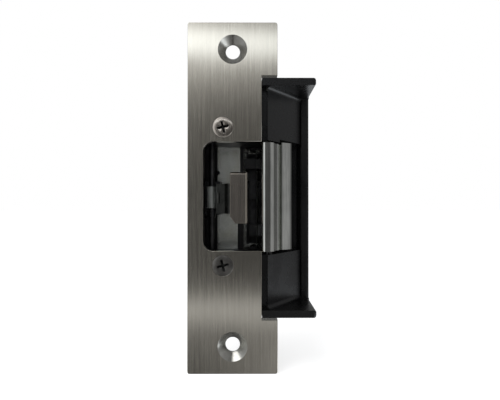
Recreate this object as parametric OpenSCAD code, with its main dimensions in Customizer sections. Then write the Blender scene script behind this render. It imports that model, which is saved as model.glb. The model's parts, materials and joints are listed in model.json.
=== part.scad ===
// Electric door strike with a swinging keeper, a latch monitor and a sliding lock bar.
// Millimetres. +X points to the lip side, +Y into the frame pocket, +Z up.
// The origin is the centre of the faceplate's back face, between the two fixing holes.

/* [Faceplate] */
// Height of the faceplate
plate_h = 123.8; // [120:0.1:130]
// Width of the faceplate
plate_w = 31.75; // [31:0.05:34]
// Thickness of the faceplate
plate_t = 3.2; // [2.8:0.1:3.4]
// Radius of the faceplate's corners
plate_corner = 0.8; // [0.4:0.1:3]
// Distance between the two fixing holes
fixing_spacing = 104.775; // [102:0.005:107]
// Diameter of a fixing hole
fixing_hole_d = 5.1; // [5:0.1:6]
// Diameter of a fixing hole's countersink
fixing_sink_d = 10.5; // [9.5:0.1:11]
// Height of the latch window
window_h = 38.7; // [38:0.1:39.4]
// How far the window and the housing's screws sit above the plate's centre
window_rise = 0.45; // [0:0.05:0.6]
// Distance from the plate's centre to the window's closed side
window_side = 10.45; // [10:0.05:10.8]
// Radius of the window's corners
window_corner = 3.6; // [1:0.1:4]
// Height of the notch that the lip bracket stands in
notch_h = 86.3; // [85.8:0.1:88]
// Distance from the plate's centre to the notch
notch_side = 10.25; // [10:0.05:10.3]
// Distance between the two screws that hold the housing
case_screw_spacing = 48.9; // [48:0.1:51]

/* [Lip bracket] */
// How far the lip reaches from the faceplate's centre
lip_reach = 29.75; // [29:0.05:31]
// Height of the lip bracket
lip_h = 84.8; // [84:0.1:85.5]
// Wall thickness of the lip bracket
lip_wall = 2.1; // [1.6:0.1:2.2]
// Thickness of the lip bracket's end flanges
flange_t = 2.6; // [2:0.1:3]
// Depth of the outer rail's face behind the plate's back
rail_y = 15.8; // [15.6:0.1:16.4]
// Width of the outer rail
rail_w = 3; // [2.9:0.05:3.3]

/* [Keeper] */
// Length of the keeper along its pin
keeper_len = 38.6; // [37.5:0.1:38.6]
// Width of the keeper's nose
nose_w = 4.15; // [4:0.05:4.3]
// Radius of the keeper's drum face
drum_r = 12.6; // [12.2:0.1:12.7]
// Radius of the keeper's hub
hub_r = 4.7; // [4.3:0.1:4.8]
// Radius of the keeper's pin
keeper_pin_r = 1.5; // [1.3:0.05:1.6]
// Length of the keeper's tail from the pin's axis
tail_len = 7; // [6.6:0.1:7.1]

/* [Housing] */
// Height of the housing
case_h = 84; // [83.6:0.1:85]
// Depth of the housing behind the plate
case_d = 28; // [28:0.1:29]
// Wall thickness of the housing
case_wall = 2; // [1.8:0.1:2.2]
// Depth of the latch cavity behind the plate
cavity_d = 16.8; // [16.6:0.1:17]
// Height of the latch cavity
cavity_h = 41; // [40.6:0.1:41.1]

/* [Latch monitor] */
// Height of the trip paddle
paddle_h = 19; // [17:0.1:20]
// Width of the trip paddle
paddle_w = 6.4; // [6:0.1:6.6]
// Radius of the trip lever's pin
trip_pin_r = 0.9; // [0.8:0.05:0.95]

/* [Lock slide] */
// Travel of the lock slide
slide_stroke = 5; // [4.8:0.1:5]
// Height of a blocking lug
lug_h = 4.5; // [4:0.1:4.6]

/* [Solenoid] */
// Radius of the solenoid's plunger
plunger_r = 2.4; // [2.2:0.05:2.45]
// Outer radius of the solenoid's winding
winding_r = 4.5; // [4.2:0.1:4.6]

/* [Hidden] */
$fn = 48;
eps = 0.01;
// Clearance between two fixed pieces that slip together
slip = 0.03;
// Clearance of a shaft that turns or slides in its hole
running = 0.05;

// Faceplate
plate_front = -plate_t;
plate_right = plate_w / 2;
sink_angle = 45;
case_screw_x = -3.4;
case_screw_z = [window_rise - case_screw_spacing / 2, window_rise + case_screw_spacing / 2];
case_head_r = 3.6;
case_shank_r = 1.75;

// Lip bracket, seen along Z: the ramp falls from its crest to its foot
lip_left = notch_side + 0.15;
lip_half = lip_h / 2;
crest_x = lip_left + lip_wall;
crest_y = plate_front + 2;
foot_x = lip_reach - rail_w + 0.2;
foot_y = rail_y + 1;
ramp_slope = atan2(foot_y - crest_y, foot_x - crest_x);
leg_front = 0.8;
pocket_half = 20.6;
ear_t = 2.4;
ear_relief = 1.1;
pocket_floor = 20.6;
flange_front = plate_front + 0.3;
flange_tip_r = 1;
fillet_r = 1.6;

// Keeper
pivot_x = 13.6;
pivot_y = 14.8;
nose_front = plate_front + 0.2 - pivot_y;
nose_left = -3.2;
nose_round = 1.3;
nose_chamfer = [1.15, 0.8];
nose_ledge = [[2.18, -13.9], [2.95, -13.7]];
groove_floor = [3.15, -11.8];
tail_left = -2.7;
keeper_low = -keeper_len / 2 + window_rise / 2;
keeper_high = keeper_low + keeper_len;
bushing_r = 2.4;
spring_z0 = 10.8;
spring_z1 = 16.2;
drum_low = drum_r * [cos(-70.7), sin(-70.7)];
// Where the keeper's web ends inside the drum, as a share of the drum's radius
web_share = 0.93;
drum_high = drum_r * [cos(-55), sin(-55)];
drum_top = pocket_half - 0.3;
drum_rim = 3.4;
notch_z = [-13, 2];
notch_half = lug_h / 2 + 0.5;

// Housing
case_left = -13.2;
case_right = lip_left;
case_half = case_h / 2;
cavity_half = cavity_h / 2;
inner_left = case_left + case_wall;
side_t = 1.6;
inner_right = case_right - side_t;
chamber_z = cavity_half + case_wall;
floor_t = 1.8;
floor_back = cavity_d + floor_t;
floor_right = 3.6;
boss_d = 8;
cover_t = 1.2;
cover_screw_at = [[-9.8, -38.6], [-9.8, 38.6], [7.9, -21.5], [7.9, 21.5]];
bracket_screw_z = [-34, -26.5, 26.5, 34];
bracket_screw_y = 21.8;

// Latch monitor
trip_x = -8.2;
trip_y = 5.8;
paddle_left = -1.2;
paddle_front = 2.8;
paddle_t = 1.2;
knuckle_r = 1.8;
cam_r = 1.9;
cam_at = [1.5, 0.3];
strip_t = 0.5;
strip_front = cavity_d - strip_t;
switch_size = [6, 6.5, 12.8];
switch_left = inner_left + 0.1;
switch_top = strip_front - switch_size[1];
button_size = [2, 3.1, 2.8];
button_left = -7.9;
button_top = trip_y + cam_at[1] + cam_r + 0.06;
terminal_z = [-4.6, 0.6, 4.6];
terminal_x = -8.7;

// Lock slide
bar_x = [6, 8.6];
bar_y = [23.2, 26.2];
bar_z = [-16, 12];
lug_right = 10.3;
lug_y = [19.6, 22.7];
arm_y = [19.6, 25.6];
arm_z = [7.5, 10.5];

// Solenoid
coil_x = -0.5;
coil_y = 22.6;
sheet = 1.2;
frame_z = [chamber_z, 39.6];
frame_half = 6.3;
frame_front = 16.5;
frame_back = 27.8;
core_z = 33.5;
plunger_gap = 0.3;
spring_hole_r = 4.2;
solenoid_screw_x = 4.9;

// Electronics
board_y = 11;
board_t = 1.2;
board_x = [-10.6, 8.3];
board_z = [-39.4, -23.2];
socket_x = [-6, 6];
socket_z = [-36.6, -29.6];
socket_wall = 1;
contact_pitch = 2.5;

// A block from its low corner to its high corner
module block(low, high) {
    translate(low)
        cube(high - low);
}

// What follows, drawn at both heights +z and -z
module at_both_ends() {
    children();
    mirror([0, 0, 1])
        children();
}

// A cylinder along +Y
module rod_y(r, length, fn = 48) {
    rotate([-90, 0, 0])
        cylinder(r = r, h = length, $fn = fn);
}

// A cylinder along +X
module rod_x(r, length) {
    rotate([0, 90, 0])
        cylinder(r = r, h = length);
}

// The cross cut in a screw's head, its mouth at z = 0
module cross_recess(reach, width, depth) {
    for (turn = [0, 90])
        rotate([0, 0, turn + 20])
            translate([-reach, -width / 2, -eps])
                cube([2 * reach, width, depth + eps]);
    translate([0, 0, -eps])
        cylinder(r1 = width * 0.9, r2 = width * 0.4, h = depth * 1.4);
}

// A countersunk screw along +Z, its head's top at z = 0
module flat_screw(head_r, shank_r, length) {
    difference() {
        union() {
            cylinder(r1 = head_r, r2 = shank_r, h = head_r - shank_r);
            cylinder(r = shank_r, h = length);
        }
        cross_recess(head_r * 0.56, head_r * 0.26, head_r * 0.4);
    }
}

// A pan-head screw along +Z, its head's seat at z = 0
module pan_screw(head_r, head_h, shank_r, length) {
    difference() {
        union() {
            translate([0, 0, -head_h])
                cylinder(r1 = head_r * 0.8, r2 = head_r, h = head_h * 0.4);
            translate([0, 0, -head_h * 0.6])
                cylinder(r = head_r, h = head_h * 0.6);
            cylinder(r = shank_r, h = length);
        }
        translate([0, 0, -head_h])
            cross_recess(head_r * 0.6, head_r * 0.28, head_h * 0.6);
    }
}

// A vector of length 1
function unit(v) = v / norm(v);

// One ring of n points round c, square to the direction t
function ring(c, t, r, n) =
    let (u = unit(cross(t, [0, 0, 1])), w = cross(u, t))
    [for (k = [0:n - 1]) c + r * (cos(360 * k / n) * u + sin(360 * k / n) * w)];

// Points along a coil; steps points make a turn, and a negative step turns clockwise
function coil_path(r, z0, pitch, turns, start, steps) =
    [for (i = [0:abs(steps) * turns])
        let (a = start + 360 * i / steps)
        [r * cos(a), r * sin(a), z0 + pitch * i / abs(steps)]];

// A round wire swept along a list of points
module wire(path, r, n = 8) {
    last = len(path) - 1;
    points = [for (i = [0:last])
        each ring(path[i], unit(path[min(i + 1, last)] - path[max(i - 1, 0)]), r, n)];
    skin = [for (i = [0:last - 1]) for (k = [0:n - 1])
        [i * n + k, i * n + (k + 1) % n, (i + 1) * n + (k + 1) % n, (i + 1) * n + k]];
    caps = [[for (k = [0:n - 1]) n - 1 - k], [for (k = [0:n - 1]) last * n + k]];
    polyhedron(points, concat(skin, caps));
}

// The latch window, open towards the notch
module window_outline() {
    translate([-window_side + window_corner, -window_h / 2])
        square([2 * window_side, window_h]);
    translate([-window_side, -window_h / 2 + window_corner])
        square([2 * window_side, window_h - 2 * window_corner]);
    for (sz = [-1, 1])
        translate([-window_side + window_corner, sz * (window_h / 2 - window_corner)])
            circle(window_corner);
}

// The plate's flat outline, with its window and notch, in X and Z
module plate_outline() {
    difference() {
        square([plate_w, plate_h], center = true);
        for (sx = [-1, 1], sz = [-1, 1])
            translate([sx * plate_right, sz * plate_h / 2])
                difference() {
                    square(2 * plate_corner, center = true);
                    translate([-sx * plate_corner, -sz * plate_corner])
                        circle(plate_corner);
                }
        translate([notch_side, -notch_h / 2])
            square([plate_w, notch_h]);
        translate([0, window_rise])
            window_outline();
    }
}

module faceplate() {
    sink_depth = (fixing_sink_d - fixing_hole_d) / 2 / tan(sink_angle);
    color([0.62, 0.6, 0.56])
        difference() {
            rotate([90, 0, 0])
                linear_extrude(plate_t)
                    plate_outline();
            at_both_ends() {
                translate([0, plate_front - eps, fixing_spacing / 2])
                    rod_y(fixing_hole_d / 2, plate_t + 1);
                translate([0, plate_front, fixing_spacing / 2])
                    rotate([-90, 0, 0])
                        cylinder(r1 = fixing_sink_d / 2, r2 = fixing_hole_d / 2, h = sink_depth);
            }
            for (z = case_screw_z) {
                translate([case_screw_x, plate_front - eps, z])
                    rod_y(case_shank_r + 0.1, plate_t + 1);
                translate([case_screw_x, plate_front, z])
                    rotate([-90, 0, 0])
                        cylinder(r1 = case_head_r + 0.05, r2 = case_shank_r + 0.05,
                            h = case_head_r - case_shank_r);
            }
        }
}

// A screw that holds the faceplate to the housing
module case_screw(z) {
    translate([case_screw_x, plate_front + 0.05, z])
        rotate([-90, 0, 0])
            flat_screw(case_head_r, case_shank_r, plate_t + 7);
}

module faceplate_screw_upper() {
    color([0.75, 0.73, 0.7])
        case_screw(case_screw_z[1]);
}

module faceplate_screw_lower() {
    color([0.4, 0.39, 0.37])
        case_screw(case_screw_z[0]);
}

// The solid under the ramp, seen along Z
module ramp_outline() {
    polygon([
        [lip_left, leg_front], [crest_x, leg_front], [crest_x, crest_y],
        [foot_x, foot_y], [lip_reach, foot_y], [lip_reach, case_d], [lip_left, case_d]
    ]);
}

// The hollow behind the ramp, seen along Z
module ramp_hollow() {
    drop = lip_wall / cos(ramp_slope);
    polygon([
        [crest_x, crest_y + drop], [foot_x, foot_y + drop],
        [lip_reach - lip_wall, foot_y + drop], [lip_reach - lip_wall, case_d + 1],
        [crest_x, case_d + 1]
    ]);
}

// The outer rail with its rounded outer edge, seen along Z
module rail_outline() {
    round_r = 1;
    difference() {
        translate([lip_reach - rail_w, rail_y])
            square([rail_w, foot_y - rail_y + 1]);
        translate([lip_reach - round_r, rail_y])
            difference() {
                translate([0, -1])
                    square([round_r + 1, round_r + 1]);
                translate([0, round_r])
                    circle(round_r);
            }
    }
}

// One end flange, seen along Z
module flange_outline() {
    round_r = 1.2;
    difference() {
        translate([lip_left, flange_front])
            square([lip_reach - lip_left, case_d - flange_front]);
        translate([lip_reach - round_r, flange_front])
            difference() {
                translate([0, -1])
                    square([round_r + 1, round_r + 1]);
                translate([0, round_r])
                    circle(round_r);
            }
    }
}

// What is cut away to round the two long edges of the upper flange's tip
module tip_rounding() {
    inner = lip_half - flange_t;
    for (edge = [[lip_half, 0, case_d], [inner, 90, rail_y - 0.3]])
        translate([lip_reach, edge[2], edge[0]])
            rotate([90, edge[1], 0])
                linear_extrude(edge[2] - plate_front + 1)
                    difference() {
                        translate([-flange_tip_r, -flange_tip_r])
                            square(flange_tip_r + 0.5);
                        translate([-flange_tip_r, -flange_tip_r])
                            circle(flange_tip_r);
                    }
}

// The round inner corner between the ramp and the upper flange
module ramp_fillet() {
    translate([crest_x, crest_y, lip_half - flange_t])
        rotate([90, 0, 90 + ramp_slope])
            linear_extrude(norm([foot_x - crest_x, foot_y - crest_y]))
                difference() {
                    translate([-fillet_r, -fillet_r])
                        square(fillet_r + 0.5);
                    translate([-fillet_r, -fillet_r])
                        circle(fillet_r);
                }
}

// The wall of the keeper's pocket between the two ears
module keeper_pocket() {
    rib_left = pivot_x + 2.4;
    difference() {
        union() {
            translate([0, 0, -pocket_half])
                linear_extrude(2 * pocket_half)
                    rail_outline();
            block([rib_left, rail_y + 1, -pocket_half - eps], [lip_reach, case_d, pocket_half + eps]);
        }
        intersection() {
            translate([pivot_x, pivot_y, -pocket_half - 1])
                cylinder(r = drum_r + 0.5, h = 2 * pocket_half + 2);
            block([rib_left - 1, 0, -pocket_half], [lip_reach, pocket_floor, pocket_half]);
        }
        block([rib_left + lip_wall, pocket_floor + lip_wall, -pocket_half],
            [lip_reach - lip_wall, case_d + 1, pocket_half]);
    }
    block([lip_left, case_d - lip_wall, -pocket_half - eps], [rib_left + 1, case_d, pocket_half + eps]);
}

// The upper end of the lip bracket: ramp, flange, rail, ear and leg
module lip_end() {
    translate([0, 0, pocket_half])
        difference() {
            linear_extrude(lip_half - pocket_half)
                ramp_outline();
            translate([0, 0, ear_t])
                linear_extrude(lip_half - pocket_half - ear_t - lip_wall)
                    ramp_hollow();
        }
    translate([0, 0, pocket_half])
        linear_extrude(lip_half - pocket_half)
            rail_outline();
    translate([0, 0, lip_half - flange_t])
        linear_extrude(flange_t)
            flange_outline();
    ramp_fillet();
    translate([pivot_x, pivot_y, pocket_half])
        cylinder(r = 3.2, h = ear_t + 1.8);
}

module lip_bracket() {
    color([0.13, 0.13, 0.13])
        difference() {
            union() {
                at_both_ends()
                    lip_end();
                keeper_pocket();
            }
            translate([pivot_x, pivot_y, -lip_half + lip_wall])
                cylinder(r = keeper_pin_r + slip, h = lip_h - 2 * lip_wall);
            intersection() {
                translate([pivot_x, pivot_y, pocket_half - 1])
                    cylinder(r = drum_r + 0.5, h = ear_relief + 1);
                block([pivot_x + 3.7, 0, pocket_half - 1], [lip_reach, pocket_floor, pocket_half + ear_relief]);
            }
            at_both_ends()
                tip_rounding();
            for (z = bracket_screw_z)
                translate([lip_left - 1, bracket_screw_y, z])
                    rod_x(1.65, lip_wall + 2);
        }
}

module bracket_screws() {
    color([0.55, 0.55, 0.53])
        for (z = bracket_screw_z)
            translate([lip_left + lip_wall, bracket_screw_y, z])
                rotate([0, -90, 0])
                    pan_screw(2.7, 2, 1.5, 5);
}

// The keeper's drum seen along its pin, with the pin's axis at [0, 0]
module drum_outline() {
    intersection() {
        circle(drum_r);
        polygon([
            [0, 0], drum_low * 1.3, (drum_low + drum_high) * 0.75, drum_high * 1.3,
            [3.9, 0.9]
        ]);
    }
}

// The keeper seen along its pin, with the pin's axis at [0, 0]
module keeper_outline() {
    nose_right = nose_left + nose_w;
    circle(hub_r);
    drum_outline();
    polygon([
        [nose_left, nose_front + nose_round], [nose_left + nose_round, nose_front],
        [nose_right - nose_chamfer[0], nose_front], [nose_right, nose_front + nose_chamfer[1]],
        nose_ledge[0], nose_ledge[1], groove_floor, drum_low * web_share, [hub_r * cos(20), 0],
        [-hub_r * cos(12), -hub_r * sin(12)], [nose_left, -6.5]
    ]);
    translate([nose_left + nose_round, nose_front + nose_round])
        circle(nose_round);
}

module keeper() {
    leg_x = 2.4;
    color([0.6, 0.59, 0.57])
        translate([pivot_x, pivot_y, 0])
            difference() {
                union() {
                    translate([0, 0, keeper_low])
                        linear_extrude(keeper_len)
                            keeper_outline();
                    block([tail_left, 0, keeper_low], [2, tail_len, spring_z0]);
                    translate([0, 0, keeper_high - eps])
                        linear_extrude(drum_top - keeper_high + eps)
                            difference() {
                                drum_outline();
                                circle(drum_r - drum_rim);
                            }
                }
                translate([0, 0, keeper_low - 1])
                    cylinder(r = bushing_r + slip, h = keeper_len + 2);
                for (z = notch_z)
                    difference() {
                        block([-8, 2.5, z - notch_half], [8, tail_len + 1, z + notch_half]);
                        translate([0, 0, z - notch_half - 1])
                            cylinder(r = hub_r, h = 2 * notch_half + 2);
                    }
                translate([0, 0, spring_z0])
                    cylinder(r = 3.1, h = spring_z1 - spring_z0);
                block([-8, -0.5, spring_z0], [8, tail_len + 1, spring_z1]);
                translate([-leg_x, -5.5, spring_z1 - 0.65])
                    rod_y(0.5, 5);
            }
}

module keeper_pin() {
    color([0.7, 0.7, 0.7])
        translate([pivot_x, pivot_y, -pocket_half - ear_t - 1.8])
            cylinder(r = keeper_pin_r, h = 2 * (pocket_half + ear_t + 1.8));
}

module keeper_bushings() {
    color([0.72, 0.52, 0.28])
        for (span = [[keeper_low, keeper_low + 5], [spring_z1, keeper_high]])
            translate([pivot_x, pivot_y, span[0]])
                difference() {
                    cylinder(r = bushing_r, h = span[1] - span[0]);
                    translate([0, 0, -1])
                        cylinder(r = keeper_pin_r + running, h = span[1] - span[0] + 2);
                }
}

module keeper_spring() {
    r = 2.4;
    z0 = spring_z0 + 0.55;
    pitch = 0.84;
    turns = 5;
    fixed_leg = [-r, case_d - lip_wall - pivot_y - 0.3, z0];
    keeper_leg = [-r, -5.2, z0 + pitch * turns];
    color([0.25, 0.25, 0.26])
        translate([pivot_x, pivot_y, 0])
            wire(concat([fixed_leg], coil_path(r, z0, pitch, turns, 180, 24), [keeper_leg]), 0.36);
}

// What is taken out of the housing block
module housing_hollows() {
    block([inner_left, -1, -cavity_half], [case_right + 1, cavity_d, cavity_half]);
    block([inner_left, floor_back, -cavity_half], [case_right + 1, case_d + 1, cavity_half]);
    block([floor_right, 1, -cavity_half], [case_right + 1, case_d + 1, cavity_half]);
    at_both_ends()
        block([inner_left, case_wall, chamber_z], [inner_right, case_d + 1, case_half - case_wall]);
}

// Bosses inside the housing
module housing_bosses() {
    for (z = case_screw_z)
        translate([case_screw_x, case_wall - eps, z])
            rod_y(3.5, boss_d - case_wall + eps);
    for (at = cover_screw_at)
        translate([at[0], floor_back, at[1]])
            rod_y(2, case_d - floor_back);
    for (z = bracket_screw_z)
        translate([inner_right - 1.2, bracket_screw_y, z])
            rod_x(2.6, 1.2 + eps);
}

module housing() {
    color([0.1, 0.1, 0.1])
        difference() {
            union() {
                difference() {
                    block([case_left, 0, -case_half], [case_right, case_d, case_half]);
                    housing_hollows();
                }
                housing_bosses();
            }
            for (z = case_screw_z)
                translate([case_screw_x, -1, z])
                    rod_y(case_shank_r + slip, boss_d + 2);
            for (at = cover_screw_at)
                translate([at[0], case_d - 6, at[1]])
                    rod_y(1.1 + slip, 7);
            for (z = bracket_screw_z)
                translate([inner_right - 2, bracket_screw_y, z])
                    rod_x(1.5 + slip, side_t + 4);
            translate([coil_x, coil_y, cavity_half - 1])
                cylinder(r = spring_hole_r, h = case_wall + 2);
            for (side = [-1, 1])
                translate([coil_x + side * solenoid_screw_x, coil_y, cavity_half - 1])
                    cylinder(r = 0.9 + slip, h = case_wall + 2);
            translate([trip_x, trip_y, -cavity_half - 1])
                cylinder(r = trip_pin_r + slip, h = cavity_h + 2);
            for (z = [-3.25, 3.25])
                translate([case_left + 0.6, switch_top + 3.4, z])
                    rod_x(1 + slip, case_wall);
            for (z = terminal_z)
                block([terminal_x - 1.3, cavity_d - 1, z - 0.45], [terminal_x + 1.3, floor_back + 1, z + 0.45]);
            block([-4, 20, -chamber_z - 1], [0, 24, -cavity_half + 1]);
            for (z = [-18, 18])
                block([-3.6, cavity_d - 1, z - 1.1], [-0.4, floor_back + 1, z + 1.1]);
        }
}

module cavity_strip() {
    left = -6.8;
    upper_right = 2.3;
    lower_right = 1.3;
    half = cavity_half - 0.1;
    switch_half = switch_size[2] / 2;
    color([0.6, 0.61, 0.58])
        difference() {
            union() {
                block([left, strip_front, 0], [upper_right, cavity_d, half]);
                block([left, strip_front, -half], [lower_right, cavity_d, eps]);
                block([switch_left, strip_front, -switch_half], [left + eps, cavity_d, switch_half]);
                for (z = [-18, 18])
                    block([-3.5, cavity_d - eps, z - 1 + 0.75], [-0.5, floor_back, z + 1]);
            }
            translate([left, strip_front - 1, 10.2])
                rod_y(0.9, 3);
            for (z = terminal_z)
                block([terminal_x - 1.3, strip_front - 1, z - 0.45], [terminal_x + 1.3, cavity_d + 1, z + 0.45]);
        }
}

// The trip paddle: bevelled along its top and right edges, with one corner cut off
module trip_paddle() {
    half = paddle_h / 2;
    right = paddle_left + paddle_w;
    back = paddle_front + paddle_t;
    bevel = 0.7;
    color([0.55, 0.52, 0.49])
        intersection() {
            translate([0, 0, -half])
                linear_extrude(paddle_h)
                    polygon([
                        [paddle_left, paddle_front], [right - bevel, paddle_front],
                        [right, paddle_front + bevel * 0.8], [right, back], [paddle_left, back]
                    ]);
            translate([0, back, 0])
                rotate([90, 0, 0])
                    linear_extrude(paddle_t)
                        polygon([
                            [paddle_left, half], [right, half], [right, -half],
                            [paddle_left + 1.9, -half], [paddle_left, -half + 2.6]
                        ]);
            rotate([90, 0, 90])
                translate([0, 0, paddle_left])
                    linear_extrude(paddle_w)
                        polygon([
                            [paddle_front, -half], [back, -half], [back, half],
                            [paddle_front + bevel * 0.8, half], [paddle_front, half - bevel]
                        ]);
        }
}

module trip_arm() {
    back = paddle_front + paddle_t;
    arm_t = 1.4;
    arm_front = trip_y - 0.6;
    color([0.12, 0.12, 0.12])
        difference() {
            union() {
                translate([trip_x, trip_y, -3.8])
                    cylinder(r = knuckle_r, h = 8);
                translate([trip_x + cam_at[0], trip_y + cam_at[1], -2])
                    cylinder(r = cam_r, h = 4);
                translate([0, 0, -3.8])
                    linear_extrude(8)
                        polygon([
                            [trip_x, trip_y - 1], [trip_x + 2, arm_front], [trip_x + 2, arm_front + arm_t],
                            [trip_x, trip_y + 1]
                        ]);
                translate([0, 0, -5.9])
                    linear_extrude(11.2)
                        polygon([
                            [-6.5, arm_front], [-3.3, arm_front], [-2, back], [3.8, back],
                            [3.8, back + arm_t], [-1.4, back + arm_t], [-2.7, arm_front + arm_t],
                            [-6.5, arm_front + arm_t]
                        ]);
            }
            translate([trip_x, trip_y, -10])
                cylinder(r = trip_pin_r + running, h = 20);
        }
}

module trip_pin() {
    color([0.3, 0.3, 0.3])
        translate([trip_x, trip_y, -cavity_half - 0.95])
            cylinder(r = trip_pin_r, h = cavity_h + 1.9);
}

module trip_spring() {
    r = 1.35;
    z0 = -7.3;
    pitch = 0.56;
    turns = 5;
    fixed_leg = [inner_left - trip_x + 0.25, r, z0];
    arm_leg = [3.2, r, z0 + pitch * turns];
    color([0.45, 0.45, 0.45])
        translate([trip_x, trip_y, 0])
            wire(concat([fixed_leg], coil_path(r, z0, pitch, turns, 90, -20), [arm_leg]), 0.2, 6);
}

module monitor_switch() {
    gap = 0.06;
    depth = button_top + button_size[1] + 1;
    color([0.14, 0.14, 0.15])
        difference() {
            translate([switch_left, switch_top, -switch_size[2] / 2])
                cube(switch_size);
            block([button_left - gap, switch_top - 1, -button_size[2] / 2 - gap],
                [button_left + button_size[0] + gap, depth, button_size[2] / 2 + gap]);
            for (z = [-3.25, 3.25])
                translate([switch_left - 1, switch_top + 3.4, z])
                    rod_x(1 + slip, switch_size[0] + 2);
        }
}

module switch_button() {
    color([0.7, 0.12, 0.1])
        translate([button_left, button_top, -button_size[2] / 2])
            cube(button_size);
}

module switch_terminals() {
    color([0.78, 0.7, 0.45])
        for (z = terminal_z)
            block([terminal_x - 1.1, strip_front, z - 0.25], [terminal_x + 1.1, floor_back + 2, z + 0.25]);
}

module switch_pins() {
    color([0.6, 0.6, 0.6])
        for (z = [-3.25, 3.25])
            translate([case_left + 0.7, switch_top + 3.4, z])
                rod_x(1, switch_left + switch_size[0] - case_left - 0.7);
}

// The lock slide: a bar with two lugs that block the keeper's tail, and an arm to the plunger
module lock_slide() {
    color([0.25, 0.25, 0.25])
        difference() {
            union() {
                block([bar_x[0], bar_y[0], bar_z[0]], [bar_x[1], bar_y[1], bar_z[1]]);
                for (z = notch_z) {
                    block([bar_x[0], lug_y[0], z - lug_h / 2], [lug_right, lug_y[1], z + lug_h / 2]);
                    block([bar_x[0], lug_y[1] - eps, z - lug_h / 2], [bar_x[1], bar_y[0] + eps, z + lug_h / 2]);
                }
                block([coil_x - 3.2, arm_y[0], arm_z[0]], [bar_x[0] - 0.4, arm_y[1], arm_z[1]]);
                block([0, bar_y[0], arm_z[0]], [bar_x[0] + eps, arm_y[1], arm_z[1]]);
            }
            translate([coil_x, coil_y, arm_z[0] - 1])
                cylinder(r = plunger_r + slip, h = 5);
            translate([coil_x, arm_y[0] - 1, (arm_z[0] + arm_z[1]) / 2])
                rod_y(0.6 + slip, 10);
        }
}

module slide_guide() {
    walls_y = [22.9, bar_y[1] + 0.2];
    left = [bar_x[0] - 1.2, bar_x[0] - 0.15];
    right = [bar_x[1] + 0.15, bar_x[1] + 1.2];
    half = 19;
    bridge_y = [17, 19.3];
    bridge_z = [11.9, 16];
    color([0.13, 0.13, 0.14]) {
        block([left[0], walls_y[1], -half], [right[1], frame_back, half]);
        block([right[0], walls_y[0], -half], [right[1], walls_y[1] + eps, half]);
        block([left[0], walls_y[0], -half], [left[1], walls_y[1] + eps, arm_z[0] - 1]);
        block([left[0], walls_y[0], arm_z[1] + slide_stroke + 1], [left[1], walls_y[1] + eps, half]);
        block([floor_right + 0.3, bridge_y[0], bridge_z[0]], [right[1], bridge_y[1], bridge_z[1]]);
        block([right[0], bridge_y[1] - eps, bridge_z[0]], [right[1], walls_y[0] + eps, bridge_z[1]]);
    }
}

// The solenoid's folded steel frame
module solenoid_frame() {
    left = coil_x - frame_half;
    right = coil_x + frame_half;
    color([0.62, 0.62, 0.6])
        difference() {
            union() {
                block([left, frame_front, frame_z[0]], [right, frame_front + sheet, frame_z[1]]);
                block([left, frame_front, frame_z[0]], [right, frame_back, frame_z[0] + sheet]);
                block([left, frame_front, frame_z[1] - sheet], [right, frame_back, frame_z[1]]);
            }
            translate([coil_x, coil_y, frame_z[0] - 1])
                cylinder(r = plunger_r + running + 0.05, h = sheet + 2);
            translate([coil_x, coil_y, frame_z[1] - sheet - 1])
                cylinder(r = 1.5, h = sheet + 2);
            for (side = [-1, 1])
                translate([coil_x + side * solenoid_screw_x, coil_y, frame_z[0]]) {
                    translate([0, 0, -1])
                        cylinder(r = 1, h = sheet + 2);
                    translate([0, 0, 0.2])
                        cylinder(r1 = 1, r2 = 2, h = 1);
                }
        }
}

// The solenoid's bobbin
module solenoid_bobbin() {
    low = frame_z[0] + sheet;
    high = frame_z[1] - sheet;
    flange = 0.8;
    color([0.88, 0.87, 0.82])
        translate([coil_x, coil_y, low])
            difference() {
                union() {
                    cylinder(r = 3, h = high - low);
                    cylinder(r = winding_r + 0.3, h = flange);
                    translate([0, 0, high - low - flange])
                        cylinder(r = winding_r + 0.3, h = flange);
                }
                translate([0, 0, -1])
                    cylinder(r = plunger_r + running + 0.05, h = high - low + 2);
            }
}

module solenoid_winding() {
    low = frame_z[0] + sheet + 0.8;
    high = frame_z[1] - sheet - 0.8;
    color([0.65, 0.3, 0.13])
        translate([coil_x, coil_y, low])
            difference() {
                cylinder(r = winding_r, h = high - low);
                translate([0, 0, -1])
                    cylinder(r = 3, h = high - low + 2);
            }
}

module solenoid_core() {
    color([0.5, 0.5, 0.5])
        translate([coil_x, coil_y, core_z]) {
            cylinder(r = plunger_r, h = frame_z[1] - sheet - core_z);
            cylinder(r = 1.5 - slip, h = frame_z[1] - core_z);
        }
}

module solenoid_plunger() {
    low = arm_z[0] + 0.4;
    high = core_z - slide_stroke - plunger_gap;
    color([0.7, 0.7, 0.68])
        difference() {
            translate([coil_x, coil_y, low])
                cylinder(r = plunger_r, h = high - low);
            translate([coil_x, arm_y[0] - 1, (arm_z[0] + arm_z[1]) / 2])
                rod_y(0.6 + slip, 10);
        }
}

module plunger_spring() {
    low = arm_z[1] + 0.35;
    high = frame_z[0] - 0.35;
    turns = 8;
    color([0.5, 0.5, 0.5])
        translate([coil_x, coil_y, 0])
            wire(coil_path(3.1, low, (high - low) / turns, turns, 0, 20), 0.3, 6);
}

module plunger_link_pin() {
    color([0.75, 0.75, 0.75])
        translate([coil_x, arm_y[0] - 0.3, (arm_z[0] + arm_z[1]) / 2])
            rod_y(0.6, arm_y[1] - arm_y[0] + 0.6);
}

module solenoid_screws() {
    color([0.6, 0.6, 0.58])
        for (side = [-1, 1])
            translate([coil_x + side * solenoid_screw_x, coil_y, frame_z[0] + sheet - 0.05])
                mirror([0, 0, 1])
                    flat_screw(1.85, 0.9, 4);
}

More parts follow.
